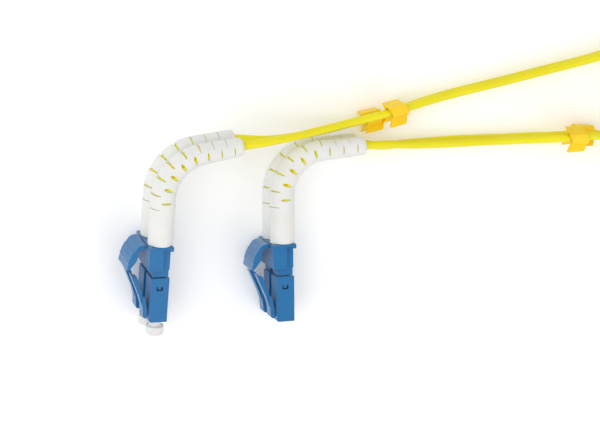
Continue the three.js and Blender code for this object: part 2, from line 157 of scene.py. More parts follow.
COIL = {"centre": (118, 33), "inner": 15.0, "outer": 21.2, "start": 110, "end": 240, "first_z": 3.0,
        "second_z": 7.4, "half": 1.1, "turns": 5, "sag": 0.85, "per_turn": 24, "climb": 0.04}
SAG_BLEND = 8  # points over which the coil's ends come down to its sag
TIE_HOLD = {"from": 0.8, "over": 0.15}  # cosine of the angle to the tie at which the turns start to rise
WANDER = ((0.07, 3.1, 2.0), (0.05, 7.3, 0.0))  # how far the turns stray: amount, waves, drift
SPRING = {"from": 7.95, "long": 3.4, "wire": 0.13, "coils": 4.5, "radius": 0.92, "per_coil": 28, "sides": 10}
TIE = {"angle": -60, "wide": 5.0, "thick": 0.5, "inner": 13.0, "outer": 22.9, "low": 0.5, "high": 9.9,
       "corner": 1.6, "across": 6}

# The stage: places in metres, angles in degrees, the lens and its sensor in millimetres
CAMERA = {"lens": 106.13, "sensor": 36, "near": 0.01, "place": (-0.12653, 0.08901, 0.41427),
          "turned": (-10.358, -17.999, -0.351)}
FLOOR = {"half": 3.0, "gap": 0.00002, "glow": 0.13}
SKY = 0.72


def turn_matrix(axis, degrees):
    return Matrix.Rotation(math.radians(degrees), 4, axis)


def plug_matrix(side):
    end = ENDS[side]
    turned = turn_matrix("Z", end["yaw"]) @ turn_matrix("X", end["lean"]) @ turn_matrix("Y", end["roll"])
    return Matrix.Translation(end["place"]) @ turned


def connector_matrix(side, level):
    return plug_matrix(side) @ Matrix.Translation((0, NOSE_Y, LEVEL_Z[level]))


# Camera
def add_camera():
    camera = bpy.data.cameras.new("camera")
    camera.lens = CAMERA["lens"]
    camera.sensor_width = CAMERA["sensor"]
    camera.clip_start = CAMERA["near"]
    holder = bpy.data.objects.new("camera", camera)
    holder.location = CAMERA["place"]
    holder.rotation_euler = [math.radians(a) for a in CAMERA["turned"]]
    bpy.context.scene.collection.objects.link(holder)
    bpy.context.scene.camera = holder


# Cords
def boot_length(side):
    end = ENDS[side]
    return BOOT_STRAIGHT + BOOT_BEND * math.radians(end["turn"]) + end["out"]


def boot_station(side, along):
    """The middle of a boot at a distance from its base, and its heading, in the connector frame."""
    turn = math.radians(ENDS[side]["turn"])
    bend = BOOT_BEND * turn
    angle = min(max(along - BOOT_STRAIGHT, 0) / BOOT_BEND, turn)
    before = min(along, BOOT_STRAIGHT)
    beyond = max(along - BOOT_STRAIGHT - bend, 0)
    heading = Vector((math.sin(angle), math.cos(angle), 0))
    corner = Vector((BOOT_BEND * (1 - math.cos(angle)), BOOT_BEND * math.sin(angle), 0))
    return Vector((0, BOOT_FROM + before, 0)) + corner + heading * beyond, heading


def boot_part_of_leg(side, level):
    length = boot_length(side) - LEG_FROM
    place = connector_matrix(side, level)
    return [place @ boot_station(side, LEG_FROM + length * i / LEG_POINTS)[0] for i in range(LEG_POINTS + 1)]


def pair_point(point, heading, level):
    x, y, z, half, twist = point
    offset = half if level == "upper" else -half
    aside = offset * math.cos(math.radians(twist))
    rise = offset * math.sin(math.radians(twist))
    return Vector((x - heading.y * aside, y + heading.x * aside, z + rise))


def route_point(side, index, level):
    route = PAIRS[side]
    before = Vector(route[max(index - 1, 0)][:2])
    after = Vector(route[min(index + 1, len(route) - 1)][:2])
    return pair_point(route[index], (after - before).normalized(), level)


def coil_height(share, angle, steps, level):
    """The lower layer, then the upper one, sagging except at the tie and at the coil's two ends."""
    rise = min(max((share - 0.5) / (2 * COIL["climb"]) + 0.5, 0), 1)
    rise = rise * rise * (3 - 2 * rise)
    z = COIL["first_z"] + (COIL["second_z"] - COIL["first_z"]) * rise
    ends = min(share, 1 - share) * steps
    near_tie = math.cos(angle - math.radians(TIE["angle"]))
    lifted = min(max((near_tie - TIE_HOLD["from"]) / TIE_HOLD["over"], 0), 1)
    z -= COIL["sag"] * (1 - lifted) * min(ends / SAG_BLEND, 1)
    return z + (COIL["half"] if level == "upper" else -COIL["half"])


def coil_part_of_leg(level):
    """In on the lower layer from the left pair, up at the inside, and out on the upper layer."""
    inner, outer = COIL["inner"], COIL["outer"]
    swept = COIL["turns"] * 360 + COIL["start"] + 360 - COIL["end"]
    steps = COIL["per_turn"] * int(round(swept / 360))
    points = []
    for i in range(steps + 1):
        share = i / steps
        angle = math.radians(COIL["start"] - swept * share)
        half_way = min(abs(share - 0.5) * 2, 1)
        radius = inner + (outer - inner) * half_way
        radius += sum(amount * math.sin(waves * angle + drift * share) for amount, waves, drift in WANDER)
        x = COIL["centre"][0] + radius * math.cos(angle)
        y = COIL["centre"][1] + radius * math.sin(angle)
        points.append(Vector((x, y, coil_height(share, angle, steps, level))))
    return points


def smooth_line(points, step):
    """A centripetal Catmull-Rom line through the points, sampled about every step."""
    ends = [points[0] * 2 - points[1]] + points + [points[-1] * 2 - points[-2]]
    line = []
    for i in range(1, len(ends) - 2):
        a, b, c, d = ends[i - 1:i + 3]
        ta, tb, tc = (math.sqrt(max((q - p).length, 1e-6)) for p, q in ((a, b), (b, c), (c, d)))
        leave = ((b - a) / ta - (c - a) / (ta + tb) + (c - b) / tb) * tb
        arrive = ((c - b) / tb - (d - b) / (tb + tc) + (d - c) / tc) * tb
        count = max(1, math.ceil((c - b).length / step))
        for k in range(count):
            t = k / count
            t2, t3 = t * t, t * t * t
            line.append(b * (2 * t3 - 3 * t2 + 1) + leave * (t3 - 2 * t2 + t)
                        + c * (3 * t2 - 2 * t3) + arrive * (t3 - t2))
    line.append(points[-1])
    return line


def leg_line(level):
    points = boot_part_of_leg("left", level)
    points += [route_point("left", i, level) for i in range(len(PAIRS["left"]))]
    points += coil_part_of_leg(level)
    points += [route_point("right", i, level) for i in reversed(range(len(PAIRS["right"])))]
    points += list(reversed(boot_part_of_leg("right", level)))
    return smooth_line(points, LINE_STEP)


def add_leg(level, look):
    line = leg_line(level)
    curve = bpy.data.curves.new(f"{level}_fibre_leg", "CURVE")
    curve.dimensions = "3D"
    curve.bevel_depth = LEG / 2 * MM
    curve.bevel_resolution = 5
    curve.use_fill_caps = True
    spline = curve.splines.new("POLY")
    spline.points.add(len(line) - 1)
    for point, place in zip(spline.points, line):
        point.co = (*(place * MM), 1)
    spline.use_smooth = True
    leg = bpy.data.objects.new(f"{level}_fibre_leg", curve)
    bpy.context.scene.collection.objects.link(leg)
    curve.materials.append(look)
    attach(leg, ROOT)
    return leg, sum((b - a).length for a, b in zip(line, line[1:])) * MM


# Mesh helpers: they work in millimetres
def mesh_of(verts, faces):
    mesh = bpy.data.meshes.new("work")
    mesh.from_pydata([tuple(v) for v in verts], [], faces)
    mesh.update()
    return clean(mesh)


def clean(mesh, merge=1e-4):
    work = bmesh.new()
    work.from_mesh(mesh)
    bmesh.ops.remove_doubles(work, verts=work.verts, dist=merge)
    bmesh.ops.recalc_face_normals(work, faces=work.faces)
    work.to_mesh(mesh)
    work.free()
    return mesh


def prism(outline, z0, z1):
    count = len(outline)
    verts = [(x, y, z0) for x, y in outline] + [(x, y, z1) for x, y in outline]
    faces = [tuple(range(count)), tuple(range(count, 2 * count))]
    faces += [(i, (i + 1) % count, (i + 1) % count + count, i + count) for i in range(count)]
    return mesh_of(verts, faces)


def block(x0, x1, y0, y1, z0, z1):
    return prism([(x0, y0), (x1, y0), (x1, y1), (x0, y1)], z0, z1)


def turned(profile, sides=48):
    """A body turned about the y axis from a closed outline of (radius, y) points."""
    verts = []
    for k in range(sides):
        angle = 2 * math.pi * k / sides
        verts += [(r * math.cos(angle), y, r * math.sin(angle)) for r, y in profile]
    count = len(profile)
    faces = []
    for k in range(sides):
        a, b = k * count, (k + 1) % sides * count
        faces += [(a + i, a + (i + 1) % count, b + (i + 1) % count, b + i) for i in range(count)]
    return mesh_of(verts, faces)


def rod(radius, y0, y1, sides=48):
    verts = []
    for y in (y0, y1):
        for k in range(sides):
            angle = 2 * math.pi * k / sides
            verts.append((radius * math.cos(angle), y, radius * math.sin(angle)))
    faces = [tuple(range(sides)), tuple(range(sides, 2 * sides))]
    faces += [(k, (k + 1) % sides, (k + 1) % sides + sides, k + sides) for k in range(sides)]
    return mesh_of(verts, faces)


def scratch_object(mesh):
    obj = bpy.data.objects.new("work", mesh)
    bpy.context.scene.collection.objects.link(obj)
    return obj


def evaluated(obj):
    graph = bpy.context.evaluated_depsgraph_get()
    return bpy.data.meshes.new_from_object(obj.evaluated_get(graph))


def combine(base, tools, operation):
    """The base mesh with each tool mesh cut from it (DIFFERENCE) or joined to it (UNION)."""
    for tool in tools:
        body, other = scratch_object(base), scratch_object(tool)
        change = body.modifiers.new("combine", "BOOLEAN")
        change.operation = operation
        change.solver = "EXACT"
        change.object = other
        base = evaluated(body)
        bpy.data.objects.remove(body)
        bpy.data.objects.remove(other)
    return base


def cut(base, *tools):
    return combine(base, tools, "DIFFERENCE")


def join(base, *tools):
    return combine(base, tools, "UNION")


def softened(mesh, width, segments=2, angle=32):
    """The mesh with its edges rounded as a mould leaves them."""
    mesh = clean(mesh)
    mesh.polygons.foreach_set("use_smooth", [True] * len(mesh.polygons))
    body = scratch_object(mesh)
    bevel = body.modifiers.new("bevel", "BEVEL")
    bevel.harden_normals = True
    bevel.width = width
    bevel.segments = segments
    bevel.limit_method = "ANGLE"
    bevel.angle_limit = math.radians(angle)
    bevel.use_clamp_overlap = True
    bevel.miter_outer = "MITER_ARC"
    result = evaluated(body)
    bpy.data.objects.remove(body)
    return result


def shaded(mesh, angle=38):
    """Smooth shading with sharp edges kept. A bevelled mesh brings its own normals and is left as it is."""
    if mesh.has_custom_normals:
        return mesh
    mesh.polygons.foreach_set("use_smooth", [True] * len(mesh.polygons))
    mesh.set_sharp_from_angle(angle=math.radians(angle))
    body = scratch_object(mesh)
    weigh = body.modifiers.new("normals", "WEIGHTED_NORMAL")
    weigh.keep_sharp = True
    result = evaluated(body)
    bpy.data.objects.remove(body)
    return result


def place_piece(name, mesh, matrix, body, node, look):
    """A finished mesh, put where its CAD node is."""
    copy = mesh.copy()
    copy.transform(Matrix.Scale(MM, 4) @ matrix)
    copy.update()
    copy.materials.clear()
    copy.materials.append(look)
    piece = bpy.data.objects.new(name, copy)
    bpy.context.scene.collection.objects.link(piece)
    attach(piece, body)
    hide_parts(node)
    return piece


# Connector pieces
def front_housing():
    half, length, nick = HOUSING["half"], HOUSING["long"], HOUSING["nick"]
    outline = [(-half, nick), (-half + nick, 0), (half, 0), (half, length), (-half, length)]
    body = prism(outline, -half, half)
    body = cut(body, rod(HOUSING["nose_bore"], -PAST, STOP["from"]), rod(STOP["bore"], 0, length),
               rod(HOUSING["rear_bore"], STOP["to"], length + PAST))
    wide = WINDOW["half"]
    body = cut(body, block(-wide, wide, WINDOW["from"], WINDOW["to"], -half - PAST, half + PAST))
    return shaded(softened(body, 0.11, 2))


def latch_arm():
    arm = prism(LATCH_ARM, -LATCH["arm_half"], LATCH["arm_half"])
    shoulder = prism(LATCH_SHOULDER, -LATCH["shoulder_half"], LATCH["shoulder_half"])
    return shaded(softened(join(arm, shoulder), 0.12, 3))


def rear_body():
    half, neck = REAR["half"], REAR["neck_half"]
    body = block(-half, half, REAR["from"], REAR["to"], -half, half)
    body = join(body, block(-neck, neck, REAR["neck_from"], REAR["neck_to"], -neck, neck))
    body = cut(body, rod(REAR["bore"], REAR["bore_from"], REAR["to"]),
               rod(REAR["crimp_bore"], REAR["crimp_from"], REAR["to"] + PAST))
    tongue = join(*(block(*corners) for corners in TONGUE))
    back = tongue.copy()
    back.transform(Matrix.Rotation(math.pi, 4, "Y"))
    return shaded(softened(join(body, tongue, back), 0.09, 2))


def duplex_clip():
    left, start, end, clear = CLIP["left"], CLIP["from"], CLIP["to"], CLIP["clear"]
    body = block(left, CLIP["right"], start, end, 0, STACK)
    body = join(body, block(left, COLLAR["right"], COLLAR["from"], end, 0, STACK))
    for z in LEVEL_Z.values():
        room = block(left + CLIP["wall"], clear, start - PAST, end + PAST, z - clear, z + clear)
        body = cut(body, room)
    body = cut(body, block(NOTCH["left"], NOTCH["right"], NOTCH["from"], NOTCH["to"], -PAST, STACK + PAST))
    return shaded(softened(body, 0.1, 2))


def bezier(a, b, c, t):
    return a * (1 - t) * (1 - t) + b * 2 * t * (1 - t) + c * t * t


def trigger():
    """The wide grip: smooth behind, with low ribs across the front two thirds of its curve."""
    outline = list(TRIGGER_FRONT)
    a, b, c = (Vector(point) for point in TRIGGER_GRIP)
    for i in range(TRIGGER["steps"] + 1):
        t = i / TRIGGER["steps"]
        foot = bezier(a, b, c, t)
        slope = (bezier(a, b, c, t + 0.01) - foot).normalized()
        ribbed = TRIGGER["ribbed_to"]
        wave = abs(math.sin(math.pi * TRIGGER["ribs"] * t / ribbed)) if t < ribbed else 0
        out = TRIGGER["rise"] * wave ** 0.7
        outline.append((foot.x - slope.y * out, foot.y + slope.x * out))
    outline += TRIGGER_HEEL
    return shaded(softened(prism(outline, TRIGGER["low"], TRIGGER["high"]), 0.14, 3, 50), 30)


def boot_radius(side, along):
    length = boot_length(side)
    share = max(0, (along - BOOT_STRAIGHT) / (length - BOOT_STRAIGHT))
    return BOOT_BASE_R - BOOT_TAPER * share


def slot_width(sizes, from_bend):
    """Widest at the middle of the bend, where the boot is stretched most."""
    return sizes["least"] + sizes["more"] * math.exp(-(from_bend / sizes["spread"]) ** 4)


def boot_slots(side):
    """Slots as (middle, width, low angle, high angle): angles run from the inside of the bend.
    Slots through the two faces take turns with slots round the outside, and those inside the bend
    are pressed nearly shut."""
    first, last = SLOTS["first"], boot_length(side) - SLOTS["before_mouth"]
    pitch = (last - first) / (SLOTS["count"] - 1)
    bend_middle = BOOT_STRAIGHT + BOOT_BEND * math.radians(ENDS[side]["turn"]) / 2
    slots = []
    for i in range(SLOTS["count"]):
        middle = first + pitch * i
        between = middle - pitch / 2
        wide = slot_width(FACE_SLOT, middle - bend_middle)
        slots += [(middle, wide, *angles) for angles in FACE_ANGLES]
        slots.append((between, slot_width(OUTSIDE_SLOT, between - bend_middle), *OUTSIDE_ANGLES))
        slots.append((between, SLOTS["shut"], *INSIDE_ANGLES))
    return slots


def pinched(along, angle, slots):
    """A slot's edge drawn in towards its two ends, which gives the slot the shape of a lens."""
    for middle, wide, low, high in slots:
        if abs(abs(along - middle) - wide / 2) < 1e-3:
            turned_to = angle if low <= angle <= high else angle - 360
            if low - 0.1 <= turned_to <= high + 0.1:
                share = (turned_to - low) / (high - low)
                return middle + (along - middle) * (SLOT_END + (1 - SLOT_END) * math.sin(math.pi * share))
    return along


def boot_rings(side, slots):
    """Distances from a boot's base of the rings of its mesh, with one at each edge of every slot."""
    length = boot_length(side)
    edges = {*BOOT_BASE_RINGS, length - BOOT_ROUND["long"], length - BOOT_ROUND["last"], length}
    for middle, wide, _, _ in slots:
        edges |= {round(middle - wide / 2, 4), round(middle + wide / 2, 4)}
    edges = sorted(edges)
    rings = []
    for a, b in zip(edges, edges[1:]):
        count = max(1, math.ceil((b - a) / RING_GAP))
        rings += [a + (b - a) * k / count for k in range(count)]
    return rings + [length]


def boot_verts(side, rings, slots):
    """The rings of the skin, then those of the bore, from the base to the mouth."""
    length = boot_length(side)
    step = 360 / BOOT_SIDES
    verts = []
    for inside in (False, True):
        for along in rings:
            rounding = max(0, BOOT_ROUND["long"] - (length - along))
            radius = boot_radius(side, along) - rounding * BOOT_ROUND["slope"]
            if inside:
                radius = BOOT_BASE_BORE["radius"] if along < BOOT_BASE_BORE["to"] else BOOT_BORE
            for k in range(BOOT_SIDES):
                middle, heading = boot_station(side, pinched(along, k * step, slots))
                inward = Vector((heading.y, -heading.x, 0))
                angle = math.radians(k * step)
                up = Vector((0, 0, radius * math.sin(angle)))
                verts.append(middle + inward * radius * math.cos(angle) + up)
    return verts


def is_open(rings, slots, i, k):
    """Whether the cell after ring i and side k lies in a slot or past an end of the boot."""
    if i < 0 or i >= len(rings) - 1:
        return True
    along = (rings[i] + rings[i + 1]) / 2
    angle = (k % BOOT_SIDES + 0.5) * 360 / BOOT_SIDES
    for middle, wide, low, high in slots:
        if abs(along - middle) < wide / 2 and (low < angle < high or low < angle - 360 < high):
            return True
    return False


def boot_faces(rings, slots):
    """The skin and bore of each closed cell, and a wall wherever a closed cell meets an open one."""
    bore = len(rings) * BOOT_SIDES

    def at(i, k):
        return i * BOOT_SIDES + k % BOOT_SIDES

    faces = []
    for i in range(len(rings)):
        for k in range(BOOT_SIDES):
            here = is_open(rings, slots, i, k)
            a, b, c, d = at(i, k), at(i, k + 1), at(i + 1, k + 1), at(i + 1, k)
            if not here:
                faces.append((a, b, c, d))
                faces.append((bore + a, bore + d, bore + c, bore + b))
            if here != is_open(rings, slots, i - 1, k):
                faces.append((a, b, bore + b, bore + a))
            if i < len(rings) - 1 and here != is_open(rings, slots, i, k - 1):
                faces.append((a, d, bore + d, bore + a))
    return faces


def without_loose(mesh):
    """The mesh without the vertices that no face uses."""
    work = bmesh.new()
    work.from_mesh(mesh)
    bmesh.ops.delete(work, geom=[v for v in work.verts if not v.link_faces], context="VERTS")
    work.to_mesh(mesh)
    work.free()
    return mesh


def boot(side):
    slots = boot_slots(side)
    rings = boot_rings(side, slots)
    mesh = without_loose(mesh_of(boot_verts(side, rings, slots), boot_faces(rings, slots)))
    return painted_slot_light(shaded(softened(mesh, 0.07, 2, 55), 50), side)


def painted_slot_light(mesh, side):
    """Marks how deep each point of a boot lies in its wall, from 0 at the skin to 1 near the leg. This sets
    how much painted yellow light from the leg the boot's material lays on the walls of its slots. The two
    ends stay at 0."""
    length = boot_length(side)
    steps = BOOT_AXIS_STEPS
    nearest = KDTree(steps + 1)
    for i in range(steps + 1):
        nearest.insert(boot_station(side, length * i / steps)[0], i)
    nearest.balance()
    depth = mesh.attributes.new("painted_slot_light", "FLOAT", "POINT")
    for vert, value in zip(mesh.vertices, depth.data):
        _, i, gap = nearest.find(vert.co)
        along = length * i / steps
        if MOUTH_RIM < along < length - MOUTH_RIM:
            value.value = min(max((boot_radius(side, along) - gap - WALL_SKIN) / WALL_FADE, 0), 1)
    return mesh


def arc(centre, radius, start, end, steps):
    angles = [math.radians(start + (end - start) * i / steps) for i in range(steps + 1)]
    return [(centre[0] + radius * math.cos(a), centre[1] + radius * math.sin(a)) for a in angles]


def dust_cap():
    """A tube over the ferrule, with a wide flange at its front."""
    profile = [(0.62, -0.4), (0.62, -3.75)]
    profile += [(0.7, -3.8)]
    profile += arc((1.75, -3.35), 0.45, -90, 0, 6)
    profile += arc((1.95, -1.75), 0.25, 0, 90, 4)
    profile += [(1.62, -1.46), (1.52, -1.32), (1.5, -0.3), (1.42, 2.6), (1.38, 3.7), (1.3, 3.8), (0.9, 3.8),
                (0.85, 3.72), (0.85, -0.4)]
    return shaded(turned(profile, 56), 30)


# Inner pieces
def ferrule():
    return shaded(turned(FERRULE, 48), 35)


def ferrule_flange():
    tail = rod(FLANGE_TAIL["radius"], FLANGE_TAIL["from"], FLANGE_TAIL["to"], 32)
    body = join(rod(FLANGE["radius"], FLANGE["from"], FLANGE["to"], 6), tail)
    seat = rod(FLANGE["seat"], FLANGE["seat_from"], FLANGE["seat_to"], 40)
    return shaded(softened(cut(body, seat), 0.06, 2), 30)


def spring():
    radius, wire, sides = SPRING["radius"], SPRING["wire"], SPRING["sides"]
    steps = int(SPRING["coils"] * SPRING["per_coil"])
    verts, faces = [], []
    for i in range(steps + 1):
        turn = 2 * math.pi * i / SPRING["per_coil"]
        out = Vector((math.cos(turn), 0, math.sin(turn)))
        middle = out * radius + Vector((0, SPRING["from"] + SPRING["long"] * i / steps, 0))
        for k in range(sides):
            angle = 2 * math.pi * k / sides
            verts.append(middle + out * wire * math.cos(angle) + Vector((0, wire * math.sin(angle), 0)))
    for i in range(steps):
        for k in range(sides):
            a, b = i * sides + k, i * sides + (k + 1) % sides
            faces.append((a, b, b + sides, a + sides))
    faces += [tuple(range(sides)), tuple(steps * sides + k for k in range(sides))]
    return shaded(mesh_of(verts, faces), 50)


def back_post():
    start, length, steps = POST["from"], POST["long"], POST["steps"]
    grooves = [(POST["radius"] - POST["groove"] * (i % 2), start + length * i / steps)
               for i in range(steps + 1)]
    return shaded(turned([(POST["bore"], start + length), (POST["bore"], start)] + grooves, 40), 50)


def crimp_sleeve():
    return shaded(turned(SLEEVE, 40), 35)


# Markers and tie
def cable_marker():
    """Drawn out along z, tag towards +y and mouth towards -y, both ends cut to a chevron."""
    bore, wall, skew, long = MARKER["bore"], MARKER["wall"], MARKER["skew"], MARKER["long"]
    outer = bore + wall
    tag, top, lip, low = TAG["half"], TAG["top"], LIP["half"], LIP["low"]
    right = [(lip, low), (lip - 0.1, low + 0.25), (lip - 0.28, low + 0.75)]
    right += arc((0, 0), outer, -46, 12, 8)
    right += [(outer * 0.97, 0.8), (outer * 0.98, top - 0.75), (tag, top - 0.5), (tag, top - 0.12)]
    right += [(tag - 0.12, top)]
    left = [(-x, y) for x, y in reversed(right)]
    inside = [(-lip + wall, low), (-lip + wall + 0.26, low + 0.5)]
    inside += arc((0, 0), bore, 180 + 48, -48, 24)
    inside += [(lip - wall - 0.26, low + 0.5), (lip - wall, low)]
    outline = right + [(0, top)] + left + inside
    slices = MARKER["slices"]
    count = len(outline)
    middle, quarter = (top + low) / 2, (top - low) / 4
    verts = []
    for s in range(slices + 1):
        for x, y in outline:
            z = -long / 2 + long * s / slices
            verts.append((x, y, z - skew * (abs(y - middle) - quarter)))
    faces = [tuple(range(count)), tuple(slices * count + i for i in range(count))]
    for s in range(slices):
        for i in range(count):
            a, b = s * count + i, s * count + (i + 1) % count
            faces.append((a, b, b + count, a + count))
    return shaded(softened(mesh_of(verts, faces), 0.17, 4, 40), 35)


def marker_matrix(side, level, index, roll):
    """Along the leg at a route point, the tag turned up from the left by the roll."""
    centre = route_point(side, index, level)
    along = (route_point(side, index + 1, level) - route_point(side, index - 1, level)).normalized()
    left = Vector((-along.y, along.x, 0)).normalized()
    up = along.cross(left)
    tag = left * math.cos(math.radians(roll)) + up * math.sin(math.radians(roll))
    flank = tag.cross(along)
    turned_to = Matrix((flank, tag, along)).transposed().to_4x4()
    return Matrix.Translation(centre) @ turned_to


def tie_strap():
    """A hook-and-loop strap round the turns of the coil, drawn as one closed band."""
    inner, outer, low, high, thick = TIE["inner"], TIE["outer"], TIE["low"], TIE["high"], TIE["thick"]
    corner = TIE["corner"]

    def loop(grow):
        line = []
        for x, z, start in ((outer, high, 0), (inner, high, 90), (inner, low, 180), (outer, low, 270)):
            sx = -1 if x == outer else 1
            sz = -1 if z == high else 1
            line += arc((x + sx * corner, z + sz * corner), corner + grow, start, start + 90, 8)
        return line

    outside, inside = loop(thick), loop(0)
    half = TIE["wide"] / 2
    count = len(outside)
    across = TIE["across"]
    verts, faces = [], []
    for ring in (outside, inside):
        for k in range(across + 1):
            verts += [(x, -half + 2 * half * k / across, z) for x, z in ring]
    layer = count * (across + 1)
    for i in range(count):
        j = (i + 1) % count
        for k in range(across):
            a, b = k * count, (k + 1) * count
            faces.append((a + i, a + j, b + j, b + i))
            faces.append((layer + a + i, layer + b + i, layer + b + j, layer + a + j))
        for k in (0, across):
            faces.append((k * count + i, k * count + j, layer + k * count + j, layer + k * count + i))
    return shaded(softened(mesh_of(verts, faces), 0.12, 2, 50), 40)


# Materials
def new_look(name, colour, roughness, **settings):
    look = bpy.data.materials.new(name)
    look.use_nodes = True
    shader = look.node_tree.nodes["Principled BSDF"]
    shader.inputs["Base Color"].default_value = (*colour, 1)
    shader.inputs["Roughness"].default_value = roughness
    for key, value in settings.items():
        shader.inputs[key.replace("_", " ")].default_value = value
    return look, look.node_tree.nodes, look.node_tree.links, shader


def noise(nodes, links, scale, detail=3.0, stretch=None):
    spot = nodes.new("ShaderNodeTexCoord")
    source = nodes.new("ShaderNodeTexNoise")
    source.inputs["Scale"].default_value = scale
    source.inputs["Detail"].default_value = detail
    if stretch:
        squeeze = nodes.new("ShaderNodeMapping")
        squeeze.inputs["Scale"].default_value = stretch
        links.new(spot.outputs["Object"], squeeze.inputs["Vector"])
        links.new(squeeze.outputs["Vector"], source.inputs["Vector"])
    else:
        links.new(spot.outputs["Object"], source.inputs["Vector"])
    return source.outputs["Fac"]


def ramp(nodes, links, source, low, high, start=0.35, end=0.65):
    blend = nodes.new("ShaderNodeValToRGB")
    blend.color_ramp.elements[0].position = start
    blend.color_ramp.elements[1].position = end
    blend.color_ramp.elements[0].color = low
    blend.color_ramp.elements[1].color = high
    links.new(source, blend.inputs["Fac"])
    return blend.outputs["Color"]


def grey(value):
    return (value, value, value, 1)


def bump(nodes, links, shader, height, strength, distance):
    raised = nodes.new("ShaderNodeBump")
    raised.inputs["Strength"].default_value = strength
    raised.inputs["Distance"].default_value = distance
    links.new(height, raised.inputs["Height"])
    links.new(raised.outputs["Normal"], shader.inputs["Normal"])


def moulded(name, light, dark, roughness, grain, depth, patch=180.0, **settings):
    """Moulded plastic: cloudy colour, patchy gloss and the fine grain of the mould."""
    look, nodes, links, shader = new_look(name, light, roughness, **settings)
    cloud = noise(nodes, links, patch, 4.0)
    links.new(ramp(nodes, links, cloud, (*dark, 1), (*light, 1)), shader.inputs["Base Color"])
    wear = noise(nodes, links, patch * 6, 5.0)
    links.new(ramp(nodes, links, wear, grey(roughness - 0.07), grey(roughness + 0.09)),
              shader.inputs["Roughness"])
    bump(nodes, links, shader, noise(nodes, links, grain, 2.0), 0.35, depth)
    return look


def boot_plastic(name, light, dark, jacket, roughness, grain, depth, **settings):
    """Soft white plastic with painted light in its slots: deep in the wall, its colour is mixed towards the
    leg's yellow, and it glows faintly in that yellow, standing in for light from the leg.
    """
    look = moulded(name, light, dark, roughness, grain, depth, **settings)
    nodes, links = look.node_tree.nodes, look.node_tree.links
    shader = nodes["Principled BSDF"]
    own = shader.inputs["Base Color"].links[0].from_socket
    near = nodes.new("ShaderNodeAttribute")
    near.attribute_name = "painted_slot_light"
    # painted yellow light: colour mixed towards the leg's yellow by how deep the point lies in the wall
    mixed = nodes.new("ShaderNodeMix")
    mixed.data_type = "RGBA"
    links.new(near.outputs["Fac"], mixed.inputs["Factor"])
    links.new(own, mixed.inputs["A"])
    mixed.inputs["B"].default_value = (*jacket, 1)
    links.new(mixed.outputs["Result"], shader.inputs["Base Color"])
    # painted glow: a faint yellow emission from the same slot walls
    glow = nodes.new("ShaderNodeMath")
    glow.operation = "MULTIPLY"
    links.new(near.outputs["Fac"], glow.inputs[0])
    glow.inputs[1].default_value = SLOT_GLOW
    links.new(glow.outputs[0], shader.inputs["Emission Strength"])
    shader.inputs["Emission Color"].default_value = (*jacket, 1)
    return look


def woven(name, light, dark):
    """Hook-and-loop webbing: a crossed weave with a napped face."""
    look, nodes, links, shader = new_look(name, light, 0.9, Sheen_Weight=0.4, Sheen_Roughness=0.5)
    spot = nodes.new("ShaderNodeTexCoord")
    heights = []
    for axis in ("X", "Y"):
        wave = nodes.new("ShaderNodeTexWave")
        wave.bands_direction = axis
        wave.inputs["Scale"].default_value = 420
        wave.inputs["Distortion"].default_value = 1.5
        wave.inputs["Detail"].default_value = 2
        links.new(spot.outputs["Object"], wave.inputs["Vector"])
        heights.append(wave.outputs["Fac"])
    crossed = nodes.new("ShaderNodeMath")
    crossed.operation = "MULTIPLY"
    links.new(heights[0], crossed.inputs[0])
    links.new(heights[1], crossed.inputs[1])
    links.new(ramp(nodes, links, crossed.outputs[0], (*dark, 1), (*light, 1), 0.1, 0.7),
              shader.inputs["Base Color"])
    bump(nodes, links, shader, crossed.outputs[0], 0.8, 0.00025)
    return look


def metal(name, light, dark, roughness, stretch):
    """Turned metal: fine rings about the axis and a little staining."""
    look, nodes, links, shader = new_look(name, light, roughness, Metallic=1.0)
    rings = noise(nodes, links, 900.0, 3.0, stretch)
    links.new(ramp(nodes, links, noise(nodes, links, 700.0), (*dark, 1), (*light, 1)),
              shader.inputs["Base Color"])
    links.new(ramp(nodes, links, rings, grey(roughness - 0.06), grey(roughness + 0.12)),
              shader.inputs["Roughness"])
    bump(nodes, links, shader, rings, 0.3, 0.00002)
    return look


LOOKS = {
    "blue_housing": moulded("blue_plastic", (0.012, 0.158, 0.39), (0.009, 0.145, 0.365), 0.34, 6000.0,
                            0.000006, Specular_IOR_Level=0.3, Sheen_Weight=0.3, Sheen_Roughness=0.4),
    "white_boot": boot_plastic("white_boot", (0.80, 0.80, 0.775), (0.77, 0.77, 0.74), (0.88, 0.86, 0.03),
                               0.55, 5000.0, 0.00001, Subsurface_Weight=0.12, Subsurface_Scale=0.0008),
    "yellow_jacket": moulded("yellow_jacket", (0.87, 0.78, 0.010), (0.83, 0.73, 0.008), 0.42, 4000.0, 0.00001,
                             patch=90.0, Specular_IOR_Level=0.3),
    "orange_marker": moulded("orange_marker", (0.97, 0.67, 0.008), (0.94, 0.61, 0.006), 0.38, 5000.0, 0.00001,
                             Specular_IOR_Level=0.35),
    "zirconia": moulded("zirconia", (0.9, 0.9, 0.88), (0.86, 0.86, 0.84), 0.16, 9000.0, 0.000005,
                        Coat_Weight=0.3),
    "cap": moulded("cap_plastic", (0.86, 0.87, 0.86), (0.82, 0.84, 0.83), 0.4, 5000.0, 0.00001,
                   Subsurface_Weight=0.3, Subsurface_Scale=0.0015, Transmission_Weight=0.15),
    "steel": metal("steel", (0.62, 0.63, 0.65), (0.5, 0.51, 0.53), 0.26, (1, 12, 1)),
    "brass": metal("brass", (0.62, 0.46, 0.2), (0.5, 0.36, 0.14), 0.3, (1, 12, 1)),
    "tie": woven("tie_webbing", (0.045, 0.045, 0.05), (0.012, 0.012, 0.014)),
}

